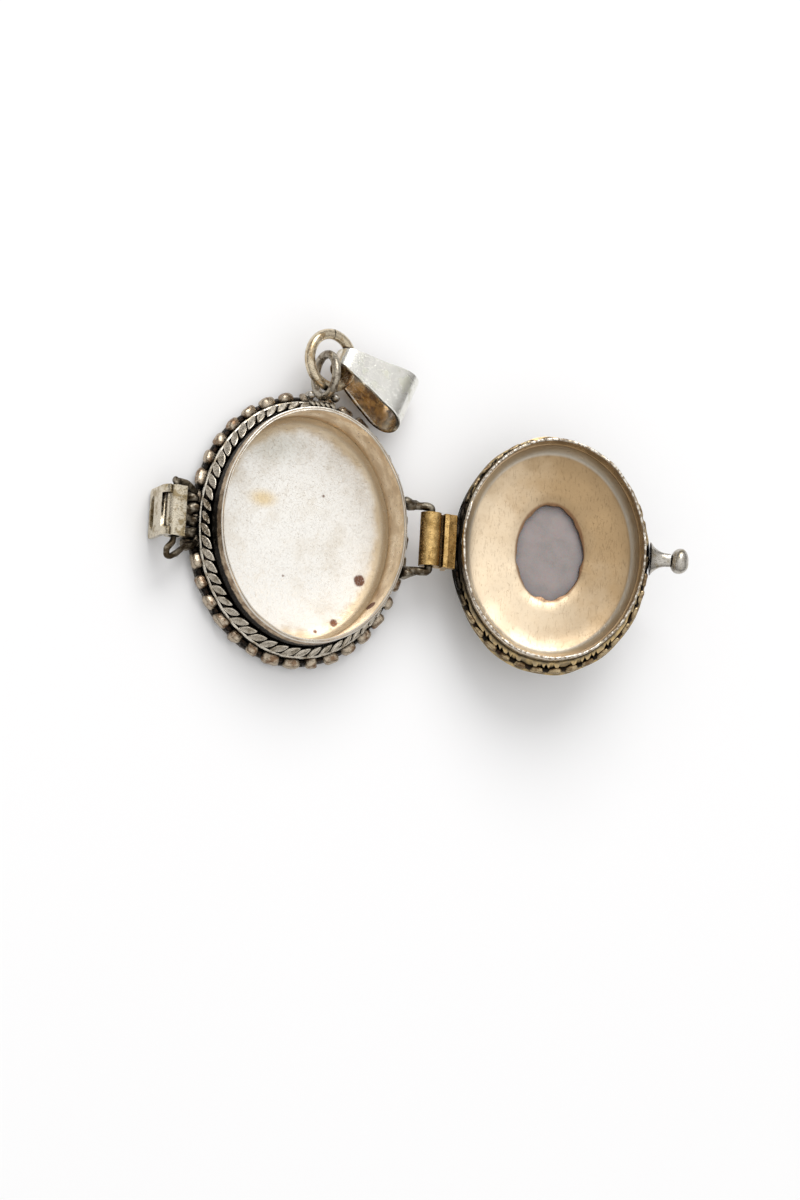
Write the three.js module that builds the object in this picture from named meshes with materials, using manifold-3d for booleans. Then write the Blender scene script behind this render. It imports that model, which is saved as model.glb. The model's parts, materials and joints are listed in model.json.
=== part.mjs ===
// Oval hinged locket pendant, lying open on its back.
// Millimetres, +Z up. The origin is the middle of the box's back face; +X points from the
// clasp to the hinge, +Y points to the bail.

import * as THREE from 'three';
import * as BufferGeometryUtils from 'three/addons/utils/BufferGeometryUtils.js';
import Module from 'manifold-3d';

const wasm = await Module();
wasm.setup();

// ---- driving dimensions -------------------------------------------------------------------

const SOLDER_GAP = 0.05; // pieces that are soldered together sit this far apart
const OVAL_RATIO = 0.83; // width over height of every oval ring
const OVAL_STEPS = 48; // facets round an oval
const WIRE_SIDES = 6; // facets round an ornamental wire
const ROUND_SIDES = 10; // facets round a bearing wire

// Box. Oval radii are given along Y, the long way.
const WALL_OUTER = 11.85;
const WALL_INNER = 11.45;
const RIM_HEIGHT = 5.9;
const PLATE_RADIUS = 13.7;
const PLATE_THICKNESS = 0.5;
const ROPE = { wire: 0.52, out: 0.6, height: 2.33 };
const PLAIN = { wire: 0.28, out: 1.3, height: 1.8 };
const BEADS = { wire: 0.42, out: 1.35, height: 0.98 };

// Lid, measured from its seat plane: + towards the inside of the locket.
const LID_PLATE_RADIUS = 11.9;
const LID_THICKNESS = 0.5;
const BEZEL_OUTER = 11.25;
const BEZEL_INNER = 10.87;
const BEZEL_HEIGHT = 1.6;
const DISH_DEPTH = 1.35; // floor of the dished lid below its seat plane
const WINDOW = { x: 3.35, y: 4.8 }; // half axes of the oval hole behind the stone
const LID_EDGE = { wire: 0.36, radius: 12.33, drop: 0.45 };
const STONE = { x: 4.9, y: 6.7, girdle: 0.5 };
const SETTING = { wall: 0.32, height: 1.7 };
const SETTING_ROPE_WIRE = 0.42;

// Hinge: a barrel on the lid turns on a wire staple on the box.
const HINGE_X = 12.6;
const HINGE_HEIGHT = 5.0;
const OPEN_RISE = THREE.MathUtils.degToRad(13); // how far the open lid still slopes up
const STAPLE_WIRE = 0.42;
const STAPLE_HALF = 3.2; // half the distance between the staple's legs
const BARREL = { outer: 1.05, bore: 0.5, length: 5.4 };
const LEAF = { thickness: 0.45, edge: 1.95, drop: 2.3 };

// Clasp: a slotted hasp on the box drops over a stud on the lid.
const CLASP_X = -14.0;
const CLASP_HEIGHT = 4.0;
const HASP = { outer: 1.0, bore: 0.48, length: 5.0, plate: 0.4, slot: 1.0, slotLength: 3.4, lip: 0.4 };
const CLASP_WIRE = 0.4;
const CLASP_HALF = 3.05;
const STUD = { base: 1.1, neck: 0.4, coneEnd: 11.5, neckEnd: 12.15, ball: 0.95 };
const STUD_NECK_MIDDLE = (STUD.coneEnd + STUD.neckEnd) / 2;

// Bail and its rings, at the top of the box.
const LOOP = { x: 0.7, height: 4.0, radius: 2.15, wire: 0.48 };
const SEAT_WIRE = { radius: 0.42, length: 2.6 };
const GRANULE = 0.5;
const RING = { radius: 2.4, wire: 0.6, x: 1.4, y: 16.9, tilt: THREE.MathUtils.degToRad(18) };
const BAIL = { strap: 0.45, eye: 1.15, bow: 1.65, length: 5.6, narrow: 1.9, wide: 6.2, eyeBack: 0.35 };
const BAIL_ON_RING = THREE.MathUtils.degToRad(-25); // where on the ring the bail hangs
const BAIL_HEADING = THREE.MathUtils.degToRad(-28);

// ---- materials ----------------------------------------------------------------------------

const silver = (color, roughness) => new THREE.MeshStandardMaterial({ color, roughness, metalness: 1 });
const brightSilver = silver(0xd9d5cc, 0.3);
const oxidisedSilver = silver(0x6f675c, 0.5);
const warmSilver = silver(0xc6a878, 0.35);
const milkyStone = new THREE.MeshStandardMaterial({ color: 0x9a928e, roughness: 0.15, metalness: 0 });

// ---- geometry helpers ---------------------------------------------------------------------

const points = (pairs) => pairs.map(([x, y]) => new THREE.Vector2(x, y));

// A ring, disc or dome: a closed profile of [radius, height] turned about Z, narrowed along X.
function turned(profile, ratio = OVAL_RATIO, steps = OVAL_STEPS) {
  const geometry = new THREE.LatheGeometry(points(profile), steps);
  geometry.rotateX(Math.PI / 2);
  geometry.scale(ratio, 1, 1);
  return geometry;
}

// A round wire bent into an oval round Z.
function ovalWire(radius, wire, ratio = OVAL_RATIO) {
  const geometry = new THREE.TorusGeometry(radius, wire, WIRE_SIDES, OVAL_STEPS);
  geometry.scale(ratio, 1, 1);
  return geometry;
}

// A round wire that follows a path of [x, y, z] points with softly rounded corners.
function bentWire(path, radius, steps) {
  const section = new THREE.Shape();
  section.absarc(0, 0, radius, 0, 2 * Math.PI);
  const curve = new THREE.CatmullRomCurve3(path.map((p) => new THREE.Vector3(...p)), false, 'catmullrom', 0.4);
  return new THREE.ExtrudeGeometry(section, {
    steps, extrudePath: curve, curveSegments: ROUND_SIDES / 2,
  });
}

// A flat outline in the XZ plane, given thickness along Y and centred on it.
function extrudedAlongY(shape, length) {
  const geometry = new THREE.ExtrudeGeometry(shape, { depth: length, bevelEnabled: false, curveSegments: 10 });
  geometry.translate(0, 0, -length / 2);
  geometry.rotateX(Math.PI / 2);
  return geometry;
}

// A staple standing out along X: two legs from startX to barX, joined by a bar along Y.
function stapleWire(startX, barX, half, wire) {
  const corner = 0.45 * Math.sign(barX - startX);
  return bentWire([
    [startX, -half, 0], [barX - 2 * corner, -half, 0], [barX - corner, -half, 0],
    [barX, -half + Math.abs(corner), 0], [barX, 0, 0], [barX, half - Math.abs(corner), 0],
    [barX - corner, half, 0], [barX - 2 * corner, half, 0], [startX, half, 0],
  ], wire, 32);
}

function asSolid(geometry) {
  const bare = geometry.clone();
  bare.deleteAttribute('normal');
  bare.deleteAttribute('uv');
  const merged = BufferGeometryUtils.mergeVertices(bare, 1e-4);
  return new wasm.Manifold(new wasm.Mesh({
    numProp: 3,
    vertProperties: merged.attributes.position.array,
    triVerts: new Uint32Array(merged.index.array),
  }));
}

function asGeometry(solid) {
  const mesh = solid.getMesh();
  const geometry = new THREE.BufferGeometry();
  geometry.setAttribute('position', new THREE.BufferAttribute(mesh.vertProperties, 3));
  geometry.setIndex(new THREE.BufferAttribute(mesh.triVerts, 1));
  geometry.computeVertexNormals();
  return geometry;
}

function piece(name, geometry, material, x = 0, y = 0, z = 0) {
  const mesh = new THREE.Mesh(geometry, material);
  mesh.name = name;
  mesh.position.set(x, y, z);
  return mesh;
}

// ---- box ----------------------------------------------------------------------------------

function makeBox() {
  const box = new THREE.Group();
  const wallFoot = PLATE_THICKNESS + SOLDER_GAP;

  box.add(piece('box_back_plate', turned([
    [0, 0], [PLATE_RADIUS, 0], [PLATE_RADIUS, PLATE_THICKNESS], [0, PLATE_THICKNESS],
  ]), brightSilver));
  box.add(piece('box_wall', turned([
    [WALL_INNER, wallFoot], [WALL_OUTER, wallFoot], [WALL_OUTER, RIM_HEIGHT], [WALL_INNER, RIM_HEIGHT],
    [WALL_INNER, wallFoot],
  ]), brightSilver));

  const ornaments = { box_rope_wire: ROPE, box_plain_wire: PLAIN, box_bead_row: BEADS };
  for (const [name, row] of Object.entries(ornaments)) {
    box.add(piece(name, ovalWire(WALL_OUTER + row.out, row.wire), oxidisedSilver, 0, 0, row.height));
  }

  // The staples' legs end on the curved wall, a little in from its widest point.
  const wallX = (y) => OVAL_RATIO * Math.sqrt(WALL_OUTER ** 2 - y ** 2);
  const hingeLeg = wallX(STAPLE_HALF - STAPLE_WIRE) + SOLDER_GAP;
  box.add(piece('hinge_staple', stapleWire(hingeLeg, HINGE_X, STAPLE_HALF, STAPLE_WIRE),
    oxidisedSilver, 0, 0, HINGE_HEIGHT));
  const claspLeg = wallX(CLASP_HALF - CLASP_WIRE) + SOLDER_GAP;
  box.add(piece('clasp_staple', stapleWire(-claspLeg, CLASP_X, CLASP_HALF, CLASP_WIRE),
    oxidisedSilver, 0, 0, CLASP_HEIGHT));
  return box;
}

// The fixed loop for the jump ring: a seat wire on the wall, the loop, and a granule each side.
function makeBailSeat() {
  const seat = new THREE.Group();
  seat.position.set(LOOP.x, WALL_OUTER + SOLDER_GAP + SEAT_WIRE.radius, LOOP.height);

  const bar = new THREE.CylinderGeometry(SEAT_WIRE.radius, SEAT_WIRE.radius, SEAT_WIRE.length, ROUND_SIDES);
  bar.rotateZ(Math.PI / 2);
  seat.add(piece('bail_seat_wire', bar, oxidisedSilver));

  const loop = new THREE.TorusGeometry(LOOP.radius, LOOP.wire, 8, 24);
  loop.rotateY(Math.PI / 2);
  const loopOut = SEAT_WIRE.radius + SOLDER_GAP + LOOP.wire + LOOP.radius;
  seat.add(piece('bail_loop', loop, brightSilver, 0, loopOut, 0));

  const granuleOut = SEAT_WIRE.radius + SOLDER_GAP + GRANULE;
  for (const [name, side] of [['bail_granule_left', -1], ['bail_granule_right', 1]]) {
    seat.add(piece(name, new THREE.SphereGeometry(GRANULE, 12, 8), brightSilver,
      side * SEAT_WIRE.length / 2, granuleOut, 0));
  }
  return seat;
}

// ---- lid ----------------------------------------------------------------------------------

function lidPlateGeometry() {
  const floor = -DISH_DEPTH;
  const t = LID_THICKNESS;
  const dish = turned([
    [0, floor - t], [7.9, floor - t], [9.6, floor - t + 0.45], [10.7, -t], [LID_PLATE_RADIUS, -t],
    [LID_PLATE_RADIUS, 0], [10.8, 0], [9.9, floor + 0.55], [8.2, floor], [0, floor],
  ]);
  const cutter = new THREE.CylinderGeometry(1, 1, 4, 32);
  cutter.rotateX(Math.PI / 2);
  cutter.scale(WINDOW.x, WINDOW.y, 1);
  cutter.translate(0, 0, floor);
  return asGeometry(asSolid(dish).subtract(asSolid(cutter)));
}

// The open lid rests on the dome of its stone, so the dome is as high as that needs.
function stoneDomeHeight(baseBelowHinge) {
  const fall = HINGE_X * Math.sin(OPEN_RISE) + HINGE_HEIGHT - baseBelowHinge * Math.cos(OPEN_RISE);
  const across = STONE.x * Math.sin(OPEN_RISE);
  return Math.sqrt(fall ** 2 - across ** 2) / Math.cos(OPEN_RISE);
}

function stoneGeometry(dome) {
  const profile = [[0, -STONE.girdle - dome]];
  const rings = 8;
  for (let i = 1; i <= rings; i++) {
    const angle = (i / rings) * Math.PI / 2;
    profile.push([STONE.y * Math.sin(angle), -STONE.girdle - dome * Math.cos(angle)]);
  }
  profile.push([STONE.y, 0], [0, 0]);
  return turned(profile, STONE.x / STONE.y, 32);
}

// The hinge barrel and its leaf, which is soldered to the edge of the lid.
function knuckleGeometry() {
  const outline = new THREE.Shape();
  outline.absarc(0, 0, BARREL.outer, 0, 1.5 * Math.PI);
  outline.lineTo(LEAF.edge - LEAF.thickness, -BARREL.outer);
  outline.lineTo(LEAF.edge - LEAF.thickness, -LEAF.drop);
  outline.lineTo(LEAF.edge, -LEAF.drop);
  outline.lineTo(LEAF.edge, -0.35);
  outline.closePath();
  const bore = new THREE.Path();
  bore.absarc(0, 0, BARREL.bore, 0, 2 * Math.PI, true);
  outline.holes.push(bore);
  return extrudedAlongY(outline, BARREL.length);
}

// The stud's stem: a cone on the lid's edge that narrows to a neck, turned about X.
function studStemGeometry(start) {
  const stem = new THREE.LatheGeometry(points([
    [0, start], [STUD.base, start], [STUD.neck, STUD.coneEnd], [STUD.neck, STUD.neckEnd], [0, STUD.neckEnd],
  ]), 16);
  stem.rotateZ(-Math.PI / 2);
  return stem;
}

// Built with the hinge axis as its origin, and its inside facing +Z while it is open.
function makeLid() {
  const lid = new THREE.Group();
  lid.position.set(HINGE_X, 0, HINGE_HEIGHT);
  lid.rotation.y = -OPEN_RISE;

  const seatZ = HINGE_HEIGHT - RIM_HEIGHT - SOLDER_GAP;
  const floorZ = seatZ - DISH_DEPTH - LID_THICKNESS;
  const middle = HINGE_X;

  lid.add(piece('lid_plate', lidPlateGeometry(), warmSilver, middle, 0, seatZ));
  lid.add(piece('lid_bezel', turned([
    [BEZEL_INNER, SOLDER_GAP], [BEZEL_OUTER, SOLDER_GAP], [BEZEL_OUTER, BEZEL_HEIGHT],
    [BEZEL_INNER, BEZEL_HEIGHT], [BEZEL_INNER, SOLDER_GAP],
  ]), brightSilver, middle, 0, seatZ));
  lid.add(piece('lid_edge_wire', ovalWire(LID_EDGE.radius, LID_EDGE.wire), oxidisedSilver,
    middle, 0, seatZ - LID_EDGE.drop));

  const stoneZ = floorZ - SOLDER_GAP;
  const dome = stoneDomeHeight(STONE.girdle - stoneZ);
  lid.add(piece('stone', stoneGeometry(dome), milkyStone, middle, 0, stoneZ));
  const settingInner = STONE.y + SOLDER_GAP;
  const settingOuter = settingInner + SETTING.wall;
  const stoneRatio = STONE.x / STONE.y;
  lid.add(piece('stone_setting', turned([
    [settingInner + 0.03, -SETTING.height], [settingOuter, -SETTING.height], [settingOuter, 0],
    [settingInner + 0.03, 0], [settingInner + 0.03, -SETTING.height],
  ], stoneRatio, 32), brightSilver, middle, 0, stoneZ));
  const ropeRadius = settingOuter + 2 * SOLDER_GAP + SETTING_ROPE_WIRE;
  lid.add(piece('stone_rope_wire', ovalWire(ropeRadius, SETTING_ROPE_WIRE, (STONE.x + 1) / (STONE.y + 1)),
    oxidisedSilver, middle, 0, stoneZ - SETTING_ROPE_WIRE));

  lid.add(piece('hinge_knuckle', knuckleGeometry(), warmSilver));

  const lidEdge = OVAL_RATIO * (LID_EDGE.radius + LID_EDGE.wire) + SOLDER_GAP;
  const studZ = seatZ - LID_THICKNESS / 2;
  lid.add(piece('stud_stem', studStemGeometry(lidEdge), brightSilver, middle, 0, studZ));
  lid.add(piece('stud_ball', new THREE.SphereGeometry(STUD.ball, 14, 10), brightSilver,
    middle + STUD.neckEnd + SOLDER_GAP + STUD.ball, 0, studZ));
  return lid;
}

// ---- hasp ---------------------------------------------------------------------------------

// Built with its pivot as its origin; the tongue hangs straight down while it is open.
function makeHasp() {
  const hasp = new THREE.Group();
  hasp.position.set(CLASP_X, 0, CLASP_HEIGHT);

  const barrel = new THREE.Shape();
  barrel.absarc(0, 0, HASP.outer, 0, 2 * Math.PI);
  const bore = new THREE.Path();
  bore.absarc(0, 0, HASP.bore, 0, 2 * Math.PI, true);
  barrel.holes.push(bore);
  hasp.add(piece('hasp_barrel', extrudedAlongY(barrel, HASP.length), brightSilver));

  // The slot is as far down the tongue as the closed lid's stud is from the pivot.
  const reach = HASP.outer + SOLDER_GAP + HASP.plate / 2;
  const studHeight = RIM_HEIGHT + SOLDER_GAP + LID_THICKNESS / 2 - CLASP_HEIGHT;
  const studOut = -CLASP_X - STUD_NECK_MIDDLE;
  const slotDrop = Math.sqrt(studOut ** 2 + studHeight ** 2 - reach ** 2);
  const tongueDrop = slotDrop + HASP.slot / 2 + HASP.lip;

  const tongue = new THREE.Shape();
  const half = HASP.length / 2;
  tongue.moveTo(-half, 0);
  tongue.lineTo(-half, -tongueDrop + 0.5);
  tongue.quadraticCurveTo(-half, -tongueDrop, -half + 0.5, -tongueDrop);
  tongue.lineTo(half - 0.5, -tongueDrop);
  tongue.quadraticCurveTo(half, -tongueDrop, half, -tongueDrop + 0.5);
  tongue.lineTo(half, 0);
  tongue.closePath();
  const slot = new THREE.Path();
  const slotEnd = (HASP.slotLength - HASP.slot) / 2;
  slot.absarc(slotEnd, -slotDrop, HASP.slot / 2, Math.PI / 2, -Math.PI / 2, true);
  slot.absarc(-slotEnd, -slotDrop, HASP.slot / 2, -Math.PI / 2, Math.PI / 2, true);
  tongue.holes.push(slot);
  const plate = new THREE.ExtrudeGeometry(tongue, { depth: HASP.plate, bevelEnabled: false, curveSegments: 6 });
  plate.translate(0, 0, -HASP.plate / 2);
  plate.rotateX(Math.PI / 2);
  plate.rotateZ(Math.PI / 2);
  hasp.add(piece('hasp_tongue', plate, brightSilver, -reach, 0, 0));
  return hasp;
}

// ---- jump ring and bail ---------------------------------------------------------------------

// The ring lies through the loop, tilted about Y, and carries the bail.
function makeRing() {
  const ring = new THREE.Group();
  ring.position.set(RING.x, RING.y, LOOP.height);
  ring.rotation.y = RING.tilt;
  ring.add(piece('jump_ring', new THREE.TorusGeometry(RING.radius, RING.wire, 8, 28), warmSilver));
  return ring;
}

// Outline round a small and a large circle, the shape of a folded strap seen from its side.
function strapOutline(path, small, large) {
  const lean = Math.asin((large - small) / BAIL.length);
  const quarter = Math.PI / 2;
  path.absarc(0, 0, small, quarter + lean, 3 * quarter - lean);
  path.absarc(BAIL.length, 0, large, -quarter - lean, quarter + lean);
  return path;
}

function bailGeometry() {
  const outline = strapOutline(new THREE.Shape(), BAIL.eye + BAIL.strap, BAIL.bow + BAIL.strap);
  outline.holes.push(strapOutline(new THREE.Path(), BAIL.eye, BAIL.bow));
  const strap = extrudedAlongY(outline, BAIL.wide + 2);

  const tip = -BAIL.eye - BAIL.strap - 0.1;
  const end = BAIL.length + BAIL.bow + BAIL.strap + 0.1;
  const taper = new THREE.Shape(points([
    [tip, -BAIL.narrow / 2], [end, -BAIL.wide / 2], [end, BAIL.wide / 2], [tip, BAIL.narrow / 2],
  ]));
  const wedge = new THREE.ExtrudeGeometry(taper, { depth: 8, bevelEnabled: false });
  wedge.translate(0, 0, -4);
  return asGeometry(asSolid(strap).intersect(asSolid(wedge)));
}

// The bail hangs on the ring, which sits eyeBack inside its eye, and rests on its bow.
function makeBail() {
  const bail = new THREE.Group();
  const onRing = new THREE.Vector3(RING.radius * Math.cos(BAIL_ON_RING), RING.radius * Math.sin(BAIL_ON_RING), 0);
  onRing.applyAxisAngle(new THREE.Vector3(0, 1, 0), RING.tilt);
  bail.position.set(RING.x + onRing.x, RING.y + onRing.y, LOOP.height + onRing.z);
  const drop = bail.position.z - (BAIL.bow + BAIL.strap + SOLDER_GAP);
  const slope = Math.asin(drop / (BAIL.length - BAIL.eyeBack));
  bail.rotation.set(0, slope, BAIL_HEADING, 'ZYX');

  const solder = 0.22;
  bail.add(piece('bail_strap', bailGeometry(), brightSilver, -BAIL.eyeBack, 0, 0));
  bail.add(piece('bail_solder', new THREE.SphereGeometry(solder, 10, 8), oxidisedSilver,
    -BAIL.eyeBack - BAIL.eye - BAIL.strap - SOLDER_GAP - solder, 0, 0));
  return bail;
}

const locket = new THREE.Group();
locket.add(makeBox(), makeBailSeat(), makeLid(), makeHasp(), makeRing(), makeBail());

export default locket;
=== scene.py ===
"""Oval hinged locket lying open on its back: its looks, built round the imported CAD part.

Shapes are written in millimetres, in the frame of the body that they ride on.
"""

import json
import math

import bmesh
import bpy
from mathutils import Matrix, Vector, noise
from mathutils.geometry import tessellate_polygon


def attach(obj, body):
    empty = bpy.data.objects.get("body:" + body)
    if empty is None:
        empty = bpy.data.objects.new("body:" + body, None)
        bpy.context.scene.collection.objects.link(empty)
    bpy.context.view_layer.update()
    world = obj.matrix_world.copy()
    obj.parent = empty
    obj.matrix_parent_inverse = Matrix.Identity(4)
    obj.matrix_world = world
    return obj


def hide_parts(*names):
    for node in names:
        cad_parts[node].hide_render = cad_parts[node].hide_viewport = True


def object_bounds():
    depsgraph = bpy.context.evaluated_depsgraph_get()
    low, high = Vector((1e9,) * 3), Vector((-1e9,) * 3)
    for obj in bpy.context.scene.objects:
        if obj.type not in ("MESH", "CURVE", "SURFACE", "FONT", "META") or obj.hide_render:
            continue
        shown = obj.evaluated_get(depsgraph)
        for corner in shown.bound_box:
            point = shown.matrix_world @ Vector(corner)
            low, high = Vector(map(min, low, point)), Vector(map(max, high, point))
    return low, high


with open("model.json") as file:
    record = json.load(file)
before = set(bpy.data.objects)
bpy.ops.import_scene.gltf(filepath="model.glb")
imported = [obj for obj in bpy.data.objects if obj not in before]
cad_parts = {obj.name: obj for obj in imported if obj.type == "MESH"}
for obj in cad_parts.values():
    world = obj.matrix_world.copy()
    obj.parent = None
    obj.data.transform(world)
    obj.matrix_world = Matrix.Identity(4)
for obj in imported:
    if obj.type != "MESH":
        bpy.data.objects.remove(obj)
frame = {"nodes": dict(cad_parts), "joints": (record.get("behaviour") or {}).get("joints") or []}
size_at_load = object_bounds()

MM = 0.001
UP = Vector((0, 0, 1))
ALONG_X = Vector((1, 0, 0))
ALONG_Y = Vector((0, 1, 0))
XYZ = (ALONG_X, ALONG_Y, UP)
AT_ORIGIN = Matrix()

# ---- shape helpers --------------------------------------------------------------------------


def extent(node, place=AT_ORIGIN):
    """Lowest and highest corner of a CAD node in millimetres, seen from a body's frame."""
    to_body = place.inverted()
    points = [to_body @ (v.co / MM) for v in frame["nodes"][node].data.vertices]
    low = Vector([min(p[i] for p in points) for i in range(3)])
    high = Vector([max(p[i] for p in points) for i in range(3)])
    return low, high


def joint(name):
    return next(j for j in frame["joints"] if j["name"] == name)


def joint_position(name):
    return Vector(joint(name)["pos_m"]) / MM


def uneven(point, size, amount, seed=0):
    """A smooth random amount between -amount and +amount at a point, for hand-made surfaces."""
    return amount * noise.noise(point / size + Vector((seed, 2 * seed, 0)))


def merged(*shapes):
    verts = []
    faces = []
    for more_verts, more_faces in shapes:
        start = len(verts)
        verts += more_verts
        faces += [tuple(start + i for i in face) for face in more_faces]
    return verts, faces


def moved(shape, matrix):
    verts, faces = shape
    return [matrix @ v for v in verts], faces


def loft(sections, closed=False):
    """A skin over sections with equal numbers of points. An open loft gets flat ends."""
    across = len(sections[0])
    count = len(sections)
    faces = []
    for i in range(count if closed else count - 1):
        here = i * across
        there = (i + 1) % count * across
        for j in range(across):
            k = (j + 1) % across
            faces.append((here + j, here + k, there + k, there + j))
    if not closed:
        faces.append(tuple(reversed(range(across))))
        faces.append(tuple(range((count - 1) * across, count * across)))
    return [p for section in sections for p in section], faces


def tube(path, radius, towards, closed=False, sides=10, rough=0.0):
    """A round wire along a path. `towards` is a direction, or one for each point of the path."""
    sections = []
    last = len(path) - 1
    for i, point in enumerate(path):
        before = path[i - 1] if closed or i > 0 else point
        after = path[(i + 1) % len(path)] if closed or i < last else point
        forward = (after - before).normalized()
        side = towards[i] if isinstance(towards, list) else towards
        side = (side - forward * side.dot(forward)).normalized()
        other = forward.cross(side)
        section = []
        for s in range(sides):
            angle = 2 * math.pi * s / sides
            out = side * math.cos(angle) + other * math.sin(angle)
            place = point + out * radius
            section.append(place + out * uneven(place, 0.5, rough))
        sections.append(section)
    return loft(sections, closed)


def rounded(corners, radius, steps=5):
    """A path through corner points, with each corner cut by a soft curve."""
    path = [corners[0]]
    for before, corner, after in zip(corners, corners[1:], corners[2:]):
        start = corner + (before - corner).normalized() * radius
        end = corner + (after - corner).normalized() * radius
        for i in range(steps + 1):
            t = i / steps
            path.append((1 - t) ** 2 * start + 2 * t * (1 - t) * corner + t * t * end)
    path.append(corners[-1])
    return path


def turned(profile, ratio, steps=192, wobble=None):
    """A closed profile of (radius, height) turned about Z and narrowed along X."""
    sections = []
    for i in range(steps):
        angle = 2 * math.pi * i / steps
        section = []
        for radius, height in profile:
            out, rise = wobble(radius, height, angle) if wobble else (0, 0)
            r = radius + out
            section.append(Vector((ratio * r * math.cos(angle), r * math.sin(angle), height + rise)))
        sections.append(section)
    return loft(sections, closed=True)


def extruded(outline, length, holes=()):
    """A flat outline of (x, z) points with holes, given a length along Y and centred on it."""
    loops = [[Vector((x, 0, z)) for x, z in loop] for loop in (outline, *holes)]
    flat = [p for loop in loops for p in loop]
    count = len(flat)
    half = Vector((0, length / 2, 0))
    verts = [p - half for p in flat] + [p + half for p in flat]
    faces = []
    for a, b, c in tessellate_polygon([[Vector((p.x, p.z, 0)) for p in loop] for loop in loops]):
        faces.append((a, b, c))
        faces.append((a + count, c + count, b + count))
    start = 0
    for loop in loops:
        for i in range(len(loop)):
            a = start + i
            b = start + (i + 1) % len(loop)
            faces.append((a, b, b + count, a + count))
        start += len(loop)
    return verts, faces


def arc(radius, start, end, steps=24, centre=(0, 0)):
    """(x, z) points on a circle, between two angles in degrees."""
    angles = [math.radians(start + (end - start) * i / steps) for i in range(steps + 1)]
    return [(centre[0] + radius * math.cos(a), centre[1] + radius * math.sin(a)) for a in angles]


def lump(centre, half, directions, square=2.0, rough=0.0, seed=0, around=16, rings=9):
    """A rounded lump with three half sizes. A higher `square` makes it more like a block."""

    def swell(value):
        return math.copysign(abs(value) ** (2 / square), value)

    sections = []
    for i in range(rings):
        tilt = math.pi * (i + 0.5) / rings - math.pi / 2
        section = []
        for j in range(around):
            turn = 2 * math.pi * j / around
            parts = (
                swell(math.cos(tilt) * math.cos(turn)),
                swell(math.cos(tilt) * math.sin(turn)),
                swell(math.sin(tilt)),
            )
            offset = sum((p * h * d for p, h, d in zip(parts, half, directions)), Vector())
            grow = 1 + uneven(offset + centre, max(half), rough, seed)
            section.append(centre + offset * grow)
        sections.append(section)
    return loft(sections)


def oval_point(rx, ry, turn):
    return Vector((rx * math.cos(2 * math.pi * turn), ry * math.sin(2 * math.pi * turn), 0))


def stations(rx, ry, count):
    """Points at equal distances round an oval, each with its outward direction."""
    dense = 1440
    lengths = [0.0]
    for i in range(dense):
        step = oval_point(rx, ry, (i + 1) / dense) - oval_point(rx, ry, i / dense)
        lengths.append(lengths[-1] + step.length)
    found = []
    j = 0
    for k in range(count):
        goal = lengths[-1] * k / count
        while lengths[j + 1] < goal:
            j += 1
        part = (goal - lengths[j]) / (lengths[j + 1] - lengths[j])
        point = oval_point(rx, ry, (j + part) / dense)
        found.append((point, Vector((point.x / rx**2, point.y / ry**2, 0)).normalized()))
    return found


def oval_wire(rx, ry, height, radius, rough):
    points, outward = zip(*stations(rx, ry, 240))
    path = [p + UP * (height + uneven(p, 2.5, rough)) for p in points]
    return tube(path, radius, list(outward), closed=True, sides=8)


def leaf_row(rx, ry, height, count, half, lean, facing=1):
    """Rope seen from outside: a row of flattened leaves lying at `lean` degrees round an oval.

    The flat sides face outwards and up, or outwards and down if `facing` is -1.
    """
    leaves = []
    for i, (point, out) in enumerate(stations(rx, ry, count)):
        forward = UP.cross(out)
        face = (out + UP * facing).normalized()
        inward = face.cross(forward)
        angle = math.radians(lean + uneven(Vector((i, 0, 0)), 1.3, 9))
        along = forward * math.cos(angle) + inward * math.sin(angle)
        size = [h * (1 + uneven(Vector((i, 5, 0)), 1.9, 0.2)) for h in half]
        centre = point + UP * height
        verts, faces = lump(centre, size, (along, face.cross(along), face), 1.55, 0.08, i, 18, 11)
        flat = 0.35 * half[2]
        for k, vert in enumerate(verts):
            proud = (vert - centre).dot(face) - flat
            if proud > 0:
                verts[k] = vert - face * proud * 1.15
        leaves.append((verts, faces))
    return merged(*leaves)


def lump_row(rx, ry, height, count, half, square, lean, seed):
    """A row of squared beads round an oval, each leaning a little."""
    beads = []
    for i, (point, out) in enumerate(stations(rx, ry, count)):
        forward = UP.cross(out)
        vary = 1 + uneven(Vector((i, 0, 0)), 1.7, 0.5, seed)
        along = (forward + UP * lean).normalized()
        size = (half[0] * vary, half[1], half[2] * (0.9 + 0.1 * vary))
        directions = (along, out, along.cross(out))
        beads.append(lump(point + UP * height, size, directions, square, 0.22, seed + i))
    return merged(*beads)


def build(name, shape, finish, body, replaced, place=AT_ORIGIN, bevel=0.0, sharp=40):
    """Makes one visible piece from a shape and lets it stand for CAD nodes of the body."""
    verts, faces = shape
    mesh = bpy.data.meshes.new(name)
    mesh.from_pydata([v * MM for v in verts], [], faces)
    tidy = bmesh.new()
    tidy.from_mesh(mesh)
    bmesh.ops.remove_doubles(tidy, verts=tidy.verts, dist=1e-4 * MM)
    bmesh.ops.recalc_face_normals(tidy, faces=tidy.faces)
    tidy.to_mesh(mesh)
    tidy.free()
    mesh.shade_smooth()
    mesh.set_sharp_from_angle(angle=math.radians(sharp))
    mesh.materials.append(finish)
    piece = bpy.data.objects.new(name, mesh)
    bpy.context.scene.collection.objects.link(piece)
    piece.matrix_world = Matrix.Translation(place.translation * MM) @ place.to_3x3().to_4x4()
    if bevel:
        edge = piece.modifiers.new("worn edges", "BEVEL")
        edge.width = bevel * MM
        edge.segments = 3
    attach(piece, body)
    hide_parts(*replaced)
    return piece


# ---- finishes -------------------------------------------------------------------------------


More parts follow.
